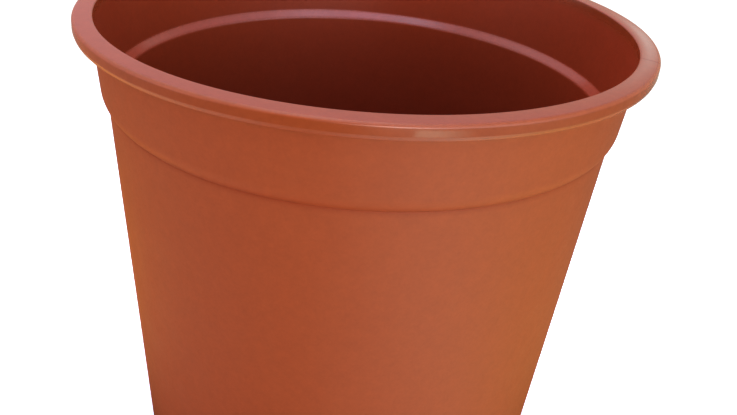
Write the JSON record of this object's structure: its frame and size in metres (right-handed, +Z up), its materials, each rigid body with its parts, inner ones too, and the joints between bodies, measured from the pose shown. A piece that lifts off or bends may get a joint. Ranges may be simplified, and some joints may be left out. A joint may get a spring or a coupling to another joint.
{
  "type": "nursery pot",
  "caption": "Round tapered plastic nursery pot with a flat rim turned down into a skirt, a stepped collar and a raised floor with drainage holes.",
  "frame": {"origin": "centre of the standing face, on the pot's axis", "axes": "+Z up along the axis of revolution, out of the mouth; +X through one of the drainage holes of the outer ring"},
  "size_m": [0.2802, 0.2802, 0.24],
  "materials": {
    "pot_plastic": "terracotta-coloured injection-moulded polypropylene, satin rim and finely matt wall"
  },
  "bodies": {
    "root": {"pot_body": "pot_plastic"}
  },
  "joints": []
}
